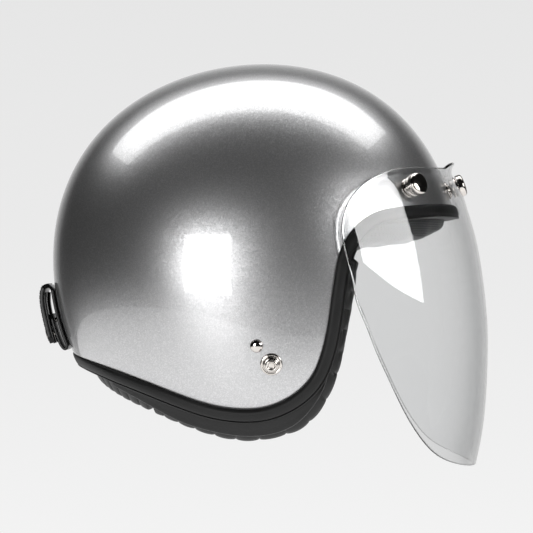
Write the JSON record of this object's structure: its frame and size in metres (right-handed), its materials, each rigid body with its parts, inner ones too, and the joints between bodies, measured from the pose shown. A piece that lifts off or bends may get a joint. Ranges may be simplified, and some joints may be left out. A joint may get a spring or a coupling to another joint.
{
  "type": "open face motorcycle helmet",
  "caption": "Open face helmet with a metallic painted shell, black edge trim, pleated lining, clear wind shield on press studs, goggle strap holder and chin straps.",
  "frame": {"origin": "middle of the head, level with the ear canals, where the helmet sits on the wearer", "axes": "front -Y, wearer's right -X, up +Z"},
  "size_m": [0.226, 0.308, 0.2748],
  "materials": {
    "silver_paint": "silver metal-flake paint under gloss clear coat",
    "edge_rubber": "matte black moulded edging",
    "leatherette": "soft black leatherette",
    "foam": "moulded bead foam",
    "lining_fabric": "brushed knit lining",
    "chrome_steel": "bright plated",
    "clear_shield": "clear polished sheet",
    "webbing": "woven webbing",
    "patent_leather": "glossy black leather"
  },
  "bodies": {
    "helmet": {"brow_pad": "lining_fabric", "brow_stud_centre": "chrome_steel", "brow_stud_left": "chrome_steel", "brow_stud_right": "chrome_steel", "brow_stud_washers": "chrome_steel", "cheek_pad_left": "lining_fabric", "cheek_pad_right": "lining_fabric", "crown_liner": "lining_fabric", "ear_lining_left": "lining_fabric", "ear_lining_right": "lining_fabric", "edge_trim": "edge_rubber", "goggle_snap_stud": "chrome_steel", "goggle_strap": "patent_leather", "goggle_strap_rivet": "chrome_steel", "impact_liner": "foam", "liner_skirt": "leatherette", "neck_pad": "lining_fabric", "neck_roll": "leatherette", "outer_shell": "silver_paint", "pleated_roll_left": "leatherette", "pleated_roll_right": "leatherette", "side_stud_left": "chrome_steel", "side_stud_right": "chrome_steel", "strap_anchor_left": "chrome_steel", "strap_anchor_right": "chrome_steel", "strap_rivet_left": "chrome_steel", "strap_rivet_right": "chrome_steel", "strap_tail_left": "webbing", "strap_tail_right": "webbing"},
    "shield": {"shield": "clear_shield", "shield_cap_centre": "chrome_steel", "shield_cap_left": "chrome_steel", "shield_cap_right": "chrome_steel", "shield_socket_centre": "chrome_steel", "shield_socket_left": "chrome_steel", "shield_socket_right": "chrome_steel", "snap_spring_centre": "chrome_steel", "snap_spring_left": "chrome_steel", "snap_spring_right": "chrome_steel"},
    "chin_strap_right": {"chin_strap_right": "webbing"},
    "chin_strap_left": {"chin_strap_left": "webbing"},
    "d_rings": {"d_ring_outer": "chrome_steel", "d_ring_inner": "chrome_steel"},
    "goggle_flap": {"goggle_strap_flap": "patent_leather", "goggle_snap_cap": "chrome_steel"}
  },
  "joints": [
    {"name": "shield_pull_off", "type": "slide", "parent": "helmet", "child": "shield", "axis": [0, -1, 0], "range_m": [0, 0.09], "deforming": ["snap_spring_right", "snap_spring_centre", "snap_spring_left"]},
    {"name": "chin_strap_right_swing", "type": "hinge", "parent": "helmet", "child": "chin_strap_right", "pos_m": [-0.0685, -0.0091, -0.0248], "axis": [0, 1, 0], "range_deg": [0, 150]},
    {"name": "chin_strap_left_swing", "type": "hinge", "parent": "helmet", "child": "chin_strap_left", "pos_m": [0.0685, -0.0091, -0.0248], "axis": [0, -1, 0], "range_deg": [0, 150]},
    {"name": "d_ring_swing", "type": "hinge", "parent": "chin_strap_right", "child": "d_rings", "pos_m": [-0.06495, -0.0091, 0.0122], "axis": [0, 1, 0], "range_deg": [-10, 60]},
    {"name": "goggle_flap_open", "type": "hinge", "parent": "helmet", "child": "goggle_flap", "pos_m": [0, 0.1382, 0.0144], "axis": [1, 0, 0], "range_deg": [0, 120]}
  ]
}
